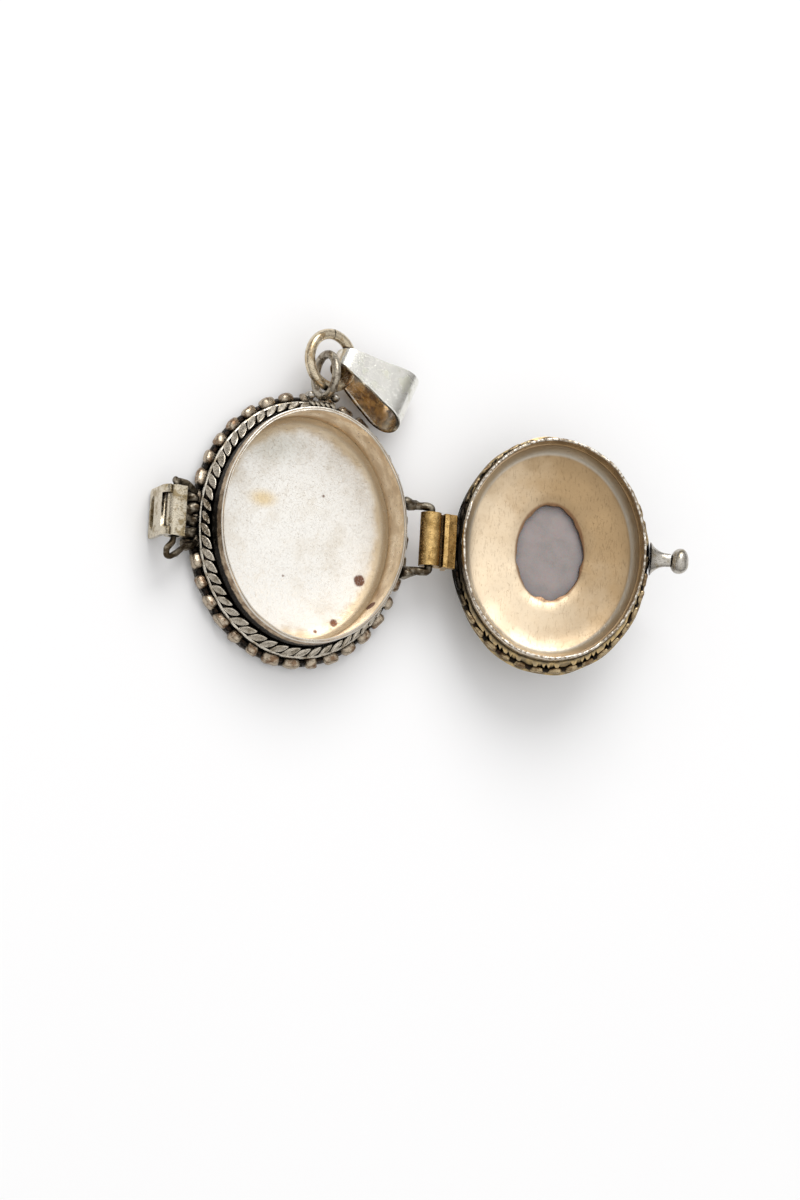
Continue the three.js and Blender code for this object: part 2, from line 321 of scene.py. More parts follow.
class Finish:
    """A material whose patterns are laid out in millimetres on the piece."""

    def __init__(self, name):
        self.material = bpy.data.materials.new(name)
        self.material.use_nodes = True
        self.tree = self.material.node_tree
        self.tree.nodes.clear()
        output = self.tree.nodes.new("ShaderNodeOutputMaterial")
        self.surface = self.tree.nodes.new("ShaderNodeBsdfPrincipled")
        self.tree.links.new(self.surface.outputs["BSDF"], output.inputs["Surface"])
        coordinates = self.tree.nodes.new("ShaderNodeTexCoord")
        scaled = self.node("ShaderNodeVectorMath", {"operation": "SCALE"},
                           Vector=coordinates.outputs["Object"])
        scaled.inputs["Scale"].default_value = 1 / MM
        self.position = scaled.outputs["Vector"]

    def plug(self, socket, value):
        if isinstance(value, bpy.types.NodeSocket):
            self.tree.links.new(value, socket)
        elif isinstance(value, tuple) and socket.type == "RGBA":
            socket.default_value = (*value, 1)
        else:
            socket.default_value = value

    def node(self, kind, settings=None, **inputs):
        made = self.tree.nodes.new(kind)
        for key, value in (settings or {}).items():
            setattr(made, key, value)
        for key, value in inputs.items():
            self.plug(made.inputs[key.replace("_", " ")], value)
        return made

    def noise(self, scale, detail=3.0, roughness=0.55, stretch=(1, 1, 1), shift=0.0):
        """Cloudy noise with `scale` features to the millimetre."""
        laid = self.node("ShaderNodeMapping", Vector=self.position, Scale=stretch,
                         Location=(shift, shift, shift))
        cloud = self.node("ShaderNodeTexNoise", Vector=laid.outputs["Vector"], Scale=scale,
                          Detail=detail, Roughness=roughness)
        return cloud.outputs["Fac"]

    def between(self, value, low, high, start=0.0, end=1.0):
        """`value` taken from the range low..high to start..end, with soft ends."""
        spread = self.node("ShaderNodeMapRange", {"interpolation_type": "SMOOTHSTEP"}, Value=value)
        spread.inputs["From Min"].default_value = low
        spread.inputs["From Max"].default_value = high
        spread.inputs["To Min"].default_value = start
        spread.inputs["To Max"].default_value = end
        return spread.outputs["Result"]

    def mix(self, factor, first, second, blend="MIX"):
        mixer = self.tree.nodes.new("ShaderNodeMix")
        mixer.data_type = "RGBA"
        mixer.blend_type = blend
        self.plug(mixer.inputs[0], factor)
        self.plug(mixer.inputs[6], first)
        self.plug(mixer.inputs[7], second)
        return mixer.outputs[2]

    def sum(self, operation, first, second):
        maths = self.tree.nodes.new("ShaderNodeMath")
        maths.operation = operation
        self.plug(maths.inputs[0], first)
        self.plug(maths.inputs[1], second)
        return maths.outputs["Value"]

    def part(self, axis):
        """One coordinate of the place on the piece, in millimetres."""
        split = self.node("ShaderNodeSeparateXYZ", Vector=self.position)
        return split.outputs[axis]

    def faces_down(self):
        """1 where the surface faces down in the piece's own frame, 0 where it faces up."""
        coordinates = self.tree.nodes.new("ShaderNodeTexCoord")
        split = self.node("ShaderNodeSeparateXYZ", Vector=coordinates.outputs["Normal"])
        return self.between(split.outputs["Z"], -0.15, 0.0, 1, 0)

    def distance(self, centre, squeeze=(1, 1, 1)):
        """How far a place on the piece is from a point; squeeze makes the distance oval."""
        offset = self.node("ShaderNodeVectorMath", {"operation": "SUBTRACT"})
        self.plug(offset.inputs[0], self.position)
        self.plug(offset.inputs[1], centre)
        oval = self.node("ShaderNodeVectorMath", {"operation": "MULTIPLY"})
        self.plug(oval.inputs[0], offset.outputs["Vector"])
        self.plug(oval.inputs[1], squeeze)
        length = self.node("ShaderNodeVectorMath", {"operation": "LENGTH"})
        self.plug(length.inputs[0], oval.outputs["Vector"])
        return length.outputs["Value"]

    def openness(self, reach):
        """1 on open surfaces, falling to 0 in hollows narrower than `reach` millimetres."""
        occlusion = self.node("ShaderNodeAmbientOcclusion", {"samples": 8}, Distance=reach * MM)
        return occlusion.outputs["AO"]

    def bump(self, height, depth, normal=None):
        relief = self.node("ShaderNodeBump", Height=height, Distance=depth * MM)
        if normal:
            self.plug(relief.inputs["Normal"], normal)
        return relief.outputs["Normal"]

    def scratches(self, scale, stretch=(1, 14, 1), shift=0.0):
        lines = self.noise(scale, 2.0, 0.6, stretch, shift)
        return self.between(lines, 0.60, 0.68)

    def finish(self, color, roughness, normal=None, metallic=1.0):
        self.plug(self.surface.inputs["Base Color"], color)
        self.plug(self.surface.inputs["Roughness"], roughness)
        self.plug(self.surface.inputs["Metallic"], metallic)
        if normal:
            self.plug(self.surface.inputs["Normal"], normal)
        return self.material


def worn_silver(name, bright, stain, hollow, reach, shine, relief, stain_share=0.5, black_before=None):
    """Handled silver: bright where it is open, stained in patches and dark in its hollows.

    `reach` is the width of a dark hollow and `relief` the depth of the fine grain, both in
    millimetres. If `black_before` is given, the piece is black where X is below it.
    """
    f = Finish(name)
    patches = f.between(f.noise(1.1, 4.0, 0.6), 0.62 - 0.3 * stain_share, 0.78 - 0.3 * stain_share)
    specks = f.between(f.noise(7.0, 3.0, 0.65, shift=4.0), 0.60, 0.68)
    stained = f.mix(patches, bright, stain)
    speckled = f.mix(f.sum("MULTIPLY", specks, 0.55), stained, hollow)
    dirt = f.sum("ADD", f.openness(reach), f.sum("MULTIPLY", f.noise(4.0, 3.0, shift=9.0), 0.25))
    worn = f.between(dirt, 0.62, 0.98)
    color = f.mix(worn, hollow, speckled)
    if black_before is not None:
        color = f.mix(f.between(f.part("X"), black_before - 1, black_before + 1), hollow, color)
    scratch = f.scratches(3.0)
    roughness = f.between(f.noise(2.2, 3.0, shift=2.0), 0.3, 0.7, shine, shine + 0.16)
    fine = f.bump(f.noise(9.0, 4.0, 0.6, shift=1.0), relief)
    return f.finish(color, roughness, f.bump(scratch, -0.012, fine))


PALE = (0.88, 0.87, 0.82)
GOLD = (0.68, 0.45, 0.18)
BLACK = (0.012, 0.010, 0.008)
RUST = (0.13, 0.045, 0.02)
BROWN = (0.06, 0.04, 0.022)

polished = worn_silver("polished_silver", (0.52, 0.49, 0.44), (0.36, 0.31, 0.22), BROWN,
                       0.6, 0.16, 0.003, 0.45)
clasp_silver = worn_silver("clasp_silver", (0.66, 0.59, 0.46), (0.36, 0.28, 0.16), BROWN,
                           0.6, 0.14, 0.002, 0.5)
rope_silver = worn_silver("rope_silver", (0.74, 0.67, 0.56), (0.44, 0.38, 0.29), BLACK,
                          0.4, 0.16, 0.002)
line_silver = worn_silver("line_silver", (0.68, 0.63, 0.54), (0.40, 0.34, 0.25), BLACK,
                          0.3, 0.2, 0.01)
block_silver = worn_silver("block_silver", (0.50, 0.42, 0.32), (0.24, 0.15, 0.09), BLACK,
                           0.9, 0.18, 0.012)
lid_block_silver = worn_silver("lid_block_silver", (0.48, 0.37, 0.22), (0.20, 0.13, 0.07), BLACK,
                               0.8, 0.2, 0.015, 0.6, black_before=4.2)
ring_silver = worn_silver("ring_silver", (0.70, 0.60, 0.44), (0.44, 0.32, 0.18), BROWN,
                          0.6, 0.14, 0.003)
loop_silver = worn_silver("loop_silver", (0.46, 0.41, 0.33), (0.18, 0.14, 0.10), BLACK,
                          0.6, 0.2, 0.008)
hinge_gold = worn_silver("hinge_gold", GOLD, (0.42, 0.26, 0.09), BROWN,
                         0.35, 0.2, 0.03, 0.6)
staple_silver = worn_silver("staple_silver", (0.28, 0.245, 0.19), (0.07, 0.05, 0.03), BLACK,
                            1.2, 0.3, 0.015, 0.7)
black_silver = worn_silver("black_silver", (0.02, 0.016, 0.012), (0.05, 0.028, 0.018), BLACK,
                           0.8, 0.35, 0.01)
solder_black = worn_silver("solder_black", (0.26, 0.21, 0.16), (0.08, 0.055, 0.04), BLACK,
                           0.4, 0.3, 0.05)


def bail_finish():
    """The bail: satin outside with a greenish film, and gold-brown inside the fold."""
    f = Finish("bail_silver")
    film = f.between(f.noise(0.6, 4.0, 0.6), 0.48, 0.66)
    outside = f.mix(f.sum("MULTIPLY", film, 0.6), PALE, (0.60, 0.60, 0.47))
    scuff = f.between(f.noise(2.5, 4.0, 0.7, shift=3.0), 0.62, 0.70)
    outside = f.mix(f.sum("MULTIPLY", scuff, 0.4), outside, (0.44, 0.40, 0.30))
    inside = f.mix(f.between(f.noise(0.9, 4.0), 0.42, 0.60), (0.60, 0.38, 0.14), (0.16, 0.09, 0.04))
    folded_in = f.between(f.openness(5.0), 0.34, 0.66, 1, 0)
    fine = f.bump(f.noise(6.0, 4.0, 0.6), 0.01)
    return f.finish(f.mix(folded_in, outside, inside), f.between(film, 0, 1, 0.24, 0.34),
                    f.bump(f.scratches(2.0, (1, 8, 1)), -0.01, fine))


def wall_finish(outer_z, rim_z):
    """The box wall: mottled inside, beige near the rim outside, black where the ornament shades it, and
    a painted highlight along its rim.
    """
    f = Finish("box_wall_silver")
    height = f.part("Z")
    cloudy = f.noise(0.55, 4.0, 0.6)
    inside = f.mix(f.between(cloudy, 0.38, 0.62), (0.92, 0.76, 0.56), (0.72, 0.56, 0.38))
    beige = f.mix(f.between(f.noise(1.6, 3.0), 0.4, 0.6), (0.46, 0.36, 0.25), (0.24, 0.17, 0.11))
    ragged = f.sum("ADD", height, f.sum("MULTIPLY", f.noise(2.4, 4.0, 0.7), 0.9))
    pits = f.between(f.noise(2.6, 4.0, 0.7, shift=6.0), 0.62, 0.68)
    inside = f.mix(f.sum("MULTIPLY", pits, 0.7), inside, (0.16, 0.09, 0.05))
    outside = f.mix(f.between(ragged, outer_z, outer_z + 0.3), BLACK, beige)
    from_middle = f.distance((0, 0, 0), (1 / wall_mid[0], 1 / wall_mid[1], 0))
    is_outside = f.between(from_middle, 0.996, 1.004)
    color = f.mix(is_outside, inside, outside)
    # Painted highlight: the top of the rim is coloured bright silver, dark only in the narrow groove
    # between the wall's two layers.
    rim = f.between(height, rim_z - 0.16, rim_z - 0.05)
    painted_rim_highlight = f.mix(f.between(f.openness(0.12), 0.5, 0.85), (0.12, 0.07, 0.035), (0.74, 0.70, 0.63))
    color = f.mix(rim, color, painted_rim_highlight)
    spot = f.between(f.distance((7.5, -7.0, 2.8), (1.2, 1.2, 0.5)), 0.45, 0.65, 1, 0)
    color = f.mix(spot, color, RUST)
    fine = f.bump(f.noise(3.0, 4.0, 0.6), 0.02)
    lines = f.bump(f.scratches(1.5, (8, 8, 1)), -0.01, fine)
    return f.finish(color, f.between(cloudy, 0.3, 0.7, 0.24, 0.42), lines)


# Rust spots on the floor of the box: (x, y, radius).
FLOOR_SPOTS = (
    (7.0, -4.2, 0.62),
    (4.5, -8.8, 0.42),
    (2.6, -9.9, 0.24),
    (2.7, 3.9, 0.18),
    (-1.1, -4.6, 0.16),
)


def floor_finish():
    """The plate: satin and bright on the floor of the box, with stains, rust and a painted golden
    reflection of the wall near its foot; black outside it.
    """
    f = Finish("box_plate_silver")
    cloud = f.noise(0.35, 5.0, 0.62)
    satin = f.mix(f.between(cloud, 0.45, 0.75), (0.85, 0.83, 0.785), (0.76, 0.72, 0.65))
    speck = f.between(f.noise(4.5, 3.0, 0.7, shift=3.0), 0.66, 0.72)
    satin = f.mix(f.sum("MULTIPLY", speck, 0.5), satin, (0.45, 0.38, 0.30))
    yellow = f.between(f.distance((-3.7, 3.0, 0.5), (0.7, 1.2, 1)), 0.2, 1.5, 0.75, 0)
    satin = f.mix(yellow, satin, (0.74, 0.56, 0.28))
    greenish = f.between(f.distance((-3.0, 8.5, 0.5), (0.5, 0.9, 1)), 0.4, 2.4, 0.3, 0)
    satin = f.mix(greenish, satin, (0.50, 0.51, 0.44))
    from_middle = f.distance((0, 0, 0), (1 / wall_mid[0], 1 / wall_mid[1], 0))
    # Painted reflection: a golden band on the floor near the wall, standing in for the wall reflected
    # in it.
    painted_wall_reflection = f.between(f.sum("ADD", from_middle, f.sum("MULTIPLY", cloud, 0.16)), 0.90, 1.0)
    satin = f.mix(f.sum("MULTIPLY", painted_wall_reflection, 0.8), satin, (0.56, 0.42, 0.24))
    for x, y, radius in FLOOR_SPOTS:
        ragged = f.sum("ADD", f.distance((x, y, 0.5)), f.sum("MULTIPLY", f.noise(3.0, 3.0), 0.3))
        satin = f.mix(f.between(ragged, radius, radius + 0.22, 0.95, 0), satin, RUST)
    color = f.mix(f.between(from_middle, 0.996, 1.004), satin, (0.07, 0.06, 0.05))
    under = f.between(f.part("Z"), 0.05, 0.25)
    color = f.mix(under, (0.62, 0.58, 0.50), color)
    scratch = f.sum("ADD", f.scratches(2.2, (1, 9, 1)), f.scratches(1.8, (10, 2, 1), 6.0))
    color = f.mix(f.sum("MULTIPLY", scratch, 0.3), color, (0.97, 0.96, 0.94))
    hairs = f.between(f.noise(3.5, 2.0, 0.6, (1, 12, 1), 8.0), 0.60, 0.70)
    color = f.mix(f.sum("MULTIPLY", hairs, 0.22), color, (0.52, 0.46, 0.40))
    fine = f.bump(f.noise(11.0, 4.0, 0.6), 0.01)
    return f.finish(color, f.between(cloud, 0.3, 0.7, 0.36, 0.48), f.bump(scratch, -0.008, fine))


def lid_floor_finish(middle, outer):
    """The dished lid: tan satin inside with painted shading that makes it brighter towards the hinge, a
    painted highlight on the slope up to the seat, gold at its edge, grey outside.
    """
    f = Finish("lid_plate_silver")
    # Painted shading: the inside is coloured lighter towards the hinge and towards low Y, and darker
    # away from them, as light falls across the dish.
    across = f.between(f.part("X"), middle - 8, middle + 8)
    upward = f.between(f.part("Y"), -7, 9)
    cloud = f.noise(0.4, 4.0, 0.6)
    painted_light_slope = f.sum("ADD", f.sum("MULTIPLY", across, 0.5), f.sum("MULTIPLY", upward, 0.35))
    tone = f.sum("ADD", painted_light_slope, f.sum("MULTIPLY", cloud, 0.35))
    tan = f.mix(f.between(tone, 0.2, 0.85), (0.84, 0.69, 0.50), (0.38, 0.26, 0.14))
    speck = f.between(f.noise(4.0, 3.0, 0.7, shift=5.0), 0.64, 0.71)
    tan = f.mix(f.sum("MULTIPLY", speck, 0.5), tan, (0.30, 0.18, 0.09))
    hole = f.distance((middle, 0, 0), (1 / window[0], 1 / window[1], 0))
    tan = f.mix(f.between(hole, 1.03, 1.10, 0.85, 0), tan, (0.20, 0.10, 0.05))
    from_middle = f.distance((middle, 0, 0), (1 / outer[0], 1 / outer[1], 0))
    gold = f.mix(f.between(f.noise(1.8, 3.0), 0.35, 0.65), (0.62, 0.45, 0.22), (0.34, 0.27, 0.17))
    shaded = f.mix(f.between(f.openness(0.5), 0.55, 0.95), BLACK, gold)
    color = f.mix(f.between(from_middle, 0.905, 0.915), tan, shaded)
    # Painted highlight: the slope from the floor up to the seat is coloured a pale greyish white.
    past_floor = f.between(from_middle, 0.815, 0.84)
    before_seat = f.between(from_middle, 0.885, 0.90, 1, 0)
    painted_slope_highlight = f.sum("MULTIPLY", past_floor, before_seat)
    color = f.mix(f.sum("MULTIPLY", painted_slope_highlight, 0.7), color, (0.82, 0.78, 0.68))
    by_hinge = f.between(f.part("X"), 3.2, 5.2)
    color = f.mix(by_hinge, BLACK, color)
    fine = f.bump(f.noise(7.0, 4.0, 0.6), 0.008)
    lines = f.bump(f.scratches(1.6, (7, 1, 1)), -0.01, fine)
    worn_face = f.mix(f.between(f.noise(0.35, 5.0), 0.35, 0.70), (0.50, 0.45, 0.37), (0.30, 0.26, 0.20))
    dark_face = f.mix(f.between(f.openness(1.2), 0.35, 0.9), BLACK, worn_face)
    color = f.mix(f.faces_down(), color, dark_face)
    return f.finish(color, f.between(cloud, 0.3, 0.7, 0.30, 0.44), lines)


def bezel_finish(seat, height):
    """The lid's bezel: taupe sides with fine lines, and a speckled rim with a painted highlight."""
    f = Finish("bezel_silver")
    cloud = f.noise(0.7, 4.0, 0.6)
    side = f.mix(f.between(cloud, 0.38, 0.62), (0.72, 0.62, 0.48), (0.46, 0.38, 0.28))
    # Painted highlight: the top of the rim is coloured bright, broken by dark specks.
    rim = f.between(f.part("Z"), seat + height - 0.16, seat + height - 0.05)
    painted_bezel_highlight = f.mix(f.between(f.noise(3.0, 3.0), 0.4, 0.6), (0.74, 0.69, 0.61), (0.26, 0.20, 0.14))
    color = f.mix(rim, side, painted_bezel_highlight)
    foot = f.between(f.part("Z"), seat + 0.1, seat + 0.45, 0.7, 0)
    color = f.mix(foot, color, (0.62, 0.52, 0.38))
    fine = f.bump(f.noise(5.0, 4.0, 0.6), 0.02)
    lines = f.bump(f.scratches(2.0, (6, 6, 1)), -0.01, fine)
    return f.finish(color, f.between(cloud, 0.3, 0.7, 0.22, 0.36), lines)


def stone_finish(middle):
    """Milky grey stone, cloudy inside and darker towards its edge."""
    f = Finish("milky_stone")
    cloud = f.noise(0.45, 5.0, 0.6)
    milk = f.mix(f.between(cloud, 0.35, 0.65), (0.33, 0.28, 0.27), (0.26, 0.23, 0.22))
    rim = f.between(f.distance((middle, 0, 0), (1 / window[0], 1 / window[1], 0)), 0.7, 1.05)
    color = f.mix(f.sum("MULTIPLY", rim, 0.5), milk, (0.20, 0.17, 0.18))
    f.surface.inputs["Subsurface Weight"].default_value = 0.25
    f.surface.inputs["Subsurface Scale"].default_value = MM
    f.surface.inputs["Coat Weight"].default_value = 0.3
    ripple = f.bump(f.noise(0.8, 2.0), 0.02)
    return f.finish(color, f.between(cloud, 0.3, 0.7, 0.22, 0.34), ripple, metallic=0.0)


# ---- box ------------------------------------------------------------------------------------

plate_high = extent("box_back_plate")[1]
wall_low, wall_high = extent("box_wall")
RATIO = wall_high.x / wall_high.y
WALL = 0.4
wall_outer = wall_high.y
wall_inner = wall_outer - WALL
wall_mid = (RATIO * (wall_outer - WALL / 2), wall_outer - WALL / 2)
rim = wall_high.z

plate_edge = plate_high.y - 0.1
plate_top = plate_high.z
plate_profile = [
    (0, 0),
    (plate_edge - 0.25, 0),
    (plate_edge, 0.12),
    (plate_edge, plate_top - 0.12),
    (plate_edge - 0.12, plate_top),
    (wall_outer, plate_top),
    (wall_inner + 0.05, plate_top),
    (wall_inner - 0.01, plate_top + 1.0),
    (wall_inner - 0.22, plate_top + 0.5),
    (wall_inner - 0.7, plate_top + 0.15),
    (wall_inner - 1.7, plate_top),
    (5, plate_top - 0.06),
    (0, plate_top - 0.02),
]


def plate_wobble(radius, height, angle):
    """The plate's edge was cut by hand; the part inside the wall is true."""
    around = Vector((3 * math.cos(angle), 3 * math.sin(angle), 0))
    return uneven(around, 0.5, 0.12 if radius > 12 else 0), 0


build("box_plate_satin", turned(plate_profile, RATIO, wobble=plate_wobble), floor_finish(),
      "box", ["box_back_plate"])


def rim_wobble(radius, height, angle):
    """The wall's rim was cut and filed by hand, so it waves a little."""
    around = Vector((math.cos(angle), math.sin(angle), 0))
    share = max(0.0, (height - 3) / (rim - 3))
    return share * uneven(around, 0.35, 0.10), share * uneven(around, 0.16, 0.09, 5)


LIP = 0.11  # the wall is two layers, and its rim shows the edge of each
OUTER_BLACK_BELOW = 4.9  # the ornament shades the outside of the wall up to here
wall_profile = [
    (wall_inner, wall_low.z),
    (wall_inner, rim - 0.05),
    (wall_inner + 0.05, rim),
    (wall_inner + LIP, rim - 0.01),
    (wall_inner + LIP + 0.05, rim - 0.10),
    (wall_outer - LIP - 0.05, rim - 0.10),
    (wall_outer - LIP, rim - 0.02),
    (wall_outer - 0.04, rim - 0.03),
    (wall_outer, rim - 0.08),
    (wall_outer, wall_low.z),
]
build("box_wall_worn", turned(wall_profile, RATIO, 288, rim_wobble),
      wall_finish(OUTER_BLACK_BELOW, rim), "box", ["box_wall"], sharp=50)


def wire_oval(node):
    """Half axes, height and wire radius of an oval CAD wire."""
    low, high = extent(node)
    radius = (high.z - low.z) / 2
    middle = high.y - radius
    return RATIO * middle, middle, (low.z + high.z) / 2, radius


rope_x, rope_y, rope_z, rope_wire = wire_oval("box_rope_wire")
rope_leaves = leaf_row(rope_x - 0.08, rope_y - 0.1, rope_z + 0.35, 58, (0.95, 0.40, 0.44), 36)
rope_core = oval_wire(rope_x - 0.12, rope_y - 0.14, rope_z - 0.15, 0.6 * rope_wire, 0.05)
build("box_rope_leaves", rope_leaves, rope_silver, "box", ["box_rope_wire"],
      sharp=60)
build("box_rope_core", rope_core, black_silver, "box", [])

line_x, line_y, line_z, line_wire = wire_oval("box_plain_wire")
line = oval_wire(line_x - 0.33, line_y - 0.40, line_z, 0.75 * line_wire, 0.12)
build("box_line_wire", line, line_silver, "box", ["box_plain_wire"])

bead_x, bead_y, bead_z, bead_wire = wire_oval("box_bead_row")
bead_half = (0.82, 1.85 * bead_wire, 1.6 * bead_wire)
bead_core = oval_wire(bead_x - 0.1, bead_y - 0.12, bead_z - 0.1, 0.8 * bead_wire, 0.05)
beads = lump_row(bead_x + 0.04, bead_y + 0.05, bead_z + 0.15, 36, bead_half, 3.0, 0.3, 11)
build("box_block_core", bead_core, black_silver, "box", [])
build("box_block_row", beads, block_silver, "box", ["box_bead_row"], sharp=60)


def staple(node, foot, drop, wire):
    """A wire with two legs that rise from `foot` by `drop`, joined by a bar along Y.

    Its feet are soldered to the box.
    """
    low, high = extent(node)
    height = (low.z + high.z) / 2
    half = high.y - wire + 0.1
    bar = high.x - wire
    corners = [
        Vector((foot, -half, height - drop)),
        Vector((bar - 0.9, -half, height - 0.1)),
        Vector((bar, -half, height)),
        Vector((bar, half, height)),
        Vector((bar - 0.9, half, height - 0.1)),
        Vector((foot, half, height - drop)),
    ]
    feet = []
    for y in (-half, half):
        centre = Vector((foot + 0.35, 1.06 * y, height - 0.6 * drop))
        feet.append(lump(centre, (1.15, 0.6, 0.7), XYZ, 2, 0.7, 6 + y))
    bent = tube(rounded(corners, 0.42), wire, UP + ALONG_X * 0.01, sides=12, rough=0.06)
    return merged(bent, *feet)


hinge = joint_position("lid_hinge")
clasp = joint_position("hasp_hinge")
build("hinge_staple_wire", staple("hinge_staple", 10.0, 0.8, 0.42), staple_silver,
      "box", ["hinge_staple"])

# The clasp's wire, with heights from its bar: it hooks out past the lower end of the barrel and
# back to the box.
CLASP_PATH = [
    (-11.2, -2.7, -2.2),
    (-12.5, -3.2, -1.2),
    (-13.6, -4.2, -0.4),
    (-14.5, -4.6, -0.1),
    (-14.75, -3.9, 0),
    (-14.0, -2.95, 0),
    (-14.0, 2.6, 0),
    (-14.3, 3.2, 0.1),
    (-13.8, 3.15, -0.5),
    (-12.4, 3.15, -1.4),
    (-11.2, 2.5, -2.3),
]
CLASP_WIRE = 0.31
clasp_path = rounded([Vector((x, y, clasp.z + z)) for x, y, z in CLASP_PATH], 0.35)
clasp_wire = tube(clasp_path, CLASP_WIRE, UP + ALONG_X * 0.01, sides=12, rough=0.1)
clasp_feet = []
for y in (-2.8, -1.6, -0.4, 0.8, 2.1):
    centre = Vector((-11.7, y, 1.6 - 0.1 * abs(y)))
    clasp_feet.append(lump(centre, (0.85, 0.62, 0.7), XYZ, 2.4, 0.7, 4 + y))
build("clasp_staple_wire", merged(clasp_wire, *clasp_feet), staple_silver,
      "box", ["clasp_staple"])

# ---- loop for the ring, on the box ----------------------------------------------------------

seat_low, seat_high = extent("bail_seat_wire")
seat_mid = (seat_low + seat_high) / 2
seat_length = seat_high.x - seat_low.x
seat_strands = []
for turn in (0, math.pi):
    seat_path = []
    for step in range(37):
        twist = turn + 2 * math.pi * 2.5 * step / 36
        out = ALONG_Y * math.cos(twist) + UP * math.sin(twist)
        seat_path.append(seat_mid + ALONG_X * seat_length * (step / 36 - 0.5) + out * 0.2)
    seat_strands.append(tube(seat_path, 0.24, UP + ALONG_Y * 0.3, sides=8))
build("seat_twisted_wire", merged(*seat_strands), loop_silver,
      "box", ["bail_seat_wire"])


def wire_ring(centre, radius, wire, axis, start, rough, gap=0.0):
    """A ring of round wire about an axis, with its cut ends on the side that `start` points to.

    `gap` is the angle between the ends, in radians.
    """
    first = start.normalized()
    second = axis.normalized().cross(first)
    steps = 64
    path = []
    for i in range(steps + 1):
        angle = gap / 2 + (2 * math.pi - gap) * i / steps
        reach = radius * (1 + uneven(Vector((math.cos(angle), math.sin(angle), wire)), 0.8, rough))
        path.append(centre + reach * (first * math.cos(angle) + second * math.sin(angle)))
    return tube(path, wire, axis, sides=14, rough=0.02)


loop_low, loop_high = extent("bail_loop")
loop_wire = (loop_high.x - loop_low.x) / 2
loop_mid = (loop_low + loop_high) / 2
loop_radius = (loop_high.y - loop_low.y) / 2 - loop_wire
LOOP_LEAN = math.radians(10)
LOOP_TURN = math.radians(20)
loop_axis = Matrix.Rotation(LOOP_TURN, 3, "Z") @ Matrix.Rotation(LOOP_LEAN, 3, "Y") @ -ALONG_X
loop = wire_ring(loop_mid + ALONG_X * 0.2, loop_radius, 0.9 * loop_wire, loop_axis, -ALONG_Y,
                 0.02, 0.05)
build("loop_wire", loop, loop_silver, "box", ["bail_loop"])
for side, seed in (("left", 3), ("right", 8)):
    node = f"bail_granule_{side}"
    low, high = extent(node)
    size = (high.x - low.x) / 2
    granule = lump((low + high) / 2, (size, 0.9 * size, size), XYZ, 2, 0.25, seed)
    build(f"granule_{side}_lump", granule, polished, "box", [node])

# ---- lid ------------------------------------------------------------------------------------

rise = math.pi - math.radians(joint("lid_hinge")["range_deg"][1])
lid_place = Matrix.Translation(hinge) @ Matrix.Rotation(-rise, 4, "Y")
MIDDLE = hinge.x  # the lid closes over the box, so its middle is as far from the hinge as the box's
to_middle = Matrix.Translation(ALONG_X * MIDDLE)

bezel_low, bezel_high = extent("lid_bezel", lid_place)
lid_high = extent("lid_plate", lid_place)[1]
stone_low, stone_high = extent("stone", lid_place)
edge_low, edge_high = extent("lid_edge_wire", lid_place)
seat = lid_high.z
bezel_outer = bezel_high.y
bezel_inner = bezel_outer - 0.30
bezel_top = bezel_high.z
lid_edge = bezel_outer + 0.8
window = (3.35, 4.8)
floor = seat - 1.35
sheet = 0.5


def lid_wobble(radius, height, angle):
    """The window was sawn by hand, and the outer edge was left wavy."""
    around = Vector((math.cos(angle), math.sin(angle), 0))
    if radius < window[1] + 1.4:
        return uneven(around, 0.30, 0.32, 2) * (1 - (radius - window[1]) / 1.5), 0
    if radius > bezel_outer + 0.5:
        return uneven(around, 0.35, 0.22, 4), uneven(around, 0.2, 0.14, 6)
    return 0, uneven(around * radius, 3.0, 0.08)


def windowed(profile, ratio, window_ratio, inner, outer, wobble):
    """A turned shape whose narrowing changes from its window to its edge."""
    verts, faces = turned(profile, 1.0, 240, wobble)
    for vert in verts:
        radius = math.hypot(vert.x, vert.y)
        share = min(1.0, max(0.0, (radius - inner) / (outer - inner)))
        vert.x *= window_ratio + (ratio - window_ratio) * share
    return verts, faces


lid_profile = [
    (window[1], floor - 0.05),
    (window[1] + 0.08, floor),
    (6.2, floor),
    (8.2, floor),
    (9.7, floor + 0.04),
    (10.25, floor + 0.3),
    (10.6, seat - 0.4),
    (10.8, seat),
    (11.35, seat),
    (11.5, seat - 0.05),
    (11.55, seat - 0.5),
    (lid_edge - 0.05, seat - 0.72),
    (lid_edge + 0.05, seat - 0.76),
    (lid_edge + 0.03, seat - 0.9),
    (11.6, seat - 0.86),
    (11.0, floor - 0.1),
    (10.3, floor - sheet + 0.2),
    (9.6, floor - sheet),
    (7.9, floor - sheet),
    (window[1] + 0.05, floor - sheet),
    (window[1], floor - sheet + 0.05),
]
lid_shape = windowed(lid_profile, RATIO, window[0] / window[1], window[1], 9.0, lid_wobble)
OFF_CENTRE = 0.4  # the lid's edge was soldered on a little off centre
for vert in lid_shape[0]:
    if math.hypot(vert.x / RATIO, vert.y) > bezel_outer + 0.25:
        vert.y -= OFF_CENTRE
outer_edge = (RATIO * lid_edge, lid_edge)
build("lid_plate_dished", moved(lid_shape, to_middle), lid_floor_finish(MIDDLE, outer_edge),
      "lid", ["lid_plate"], lid_place)

# Places on the bezel's rim, in degrees round it, that were nicked.
NICKS = (62, 84, 101, 112, 131, 158, 238, 305)


